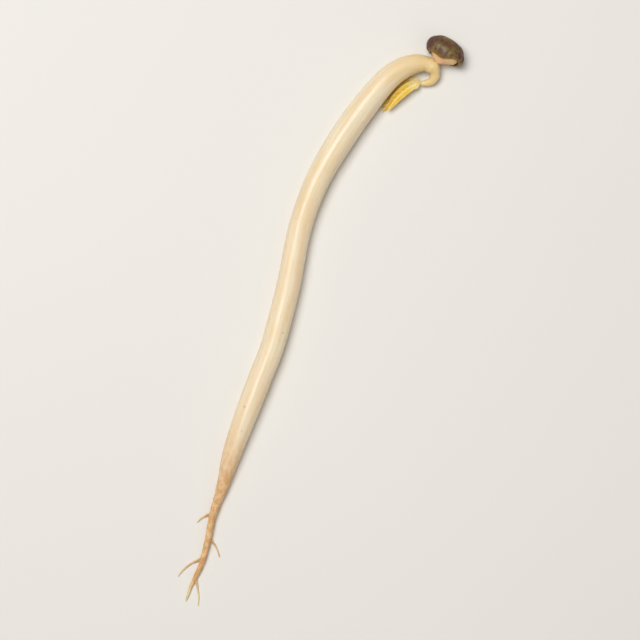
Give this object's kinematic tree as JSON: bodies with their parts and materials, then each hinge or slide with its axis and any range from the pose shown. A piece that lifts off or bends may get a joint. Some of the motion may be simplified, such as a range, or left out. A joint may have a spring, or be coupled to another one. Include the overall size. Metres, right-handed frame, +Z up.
{
  "type": "mung bean sprout",
  "caption": "Mung bean sprout lying on its side: thick white stem, hooked neck with seed leaves in a torn seed coat, folded yellow first leaves, thin tan root.",
  "frame": {"origin": "on the surface that the sprout lies on, under the middle of its bounding box", "axes": "+Z up from that surface; +Y along the sprout, from root tip to hook; +X to the side that the hook and leaves turn to"},
  "size_m": [0.0524, 0.1031, 0.0053],
  "materials": {
    "stem": "moist, waxy and slightly translucent plant stem, cream white, turning tan at the root",
    "seed_leaf": "pale yellow, smooth and softly wrinkled",
    "seed_coat": "thin olive to purple brown skin, wrinkled, satin",
    "first_leaf": "soft bright yellow leaf with paler margins"
  },
  "bodies": {
    "root": {"stem_with_root": "stem", "seed_leaf_lower": "seed_leaf", "seed_leaf_upper": "seed_leaf", "seed_coat": "seed_coat", "first_leaf_lower": "first_leaf", "first_leaf_upper": "first_leaf", "leaf_bud": "first_leaf"}
  },
  "joints": []
}
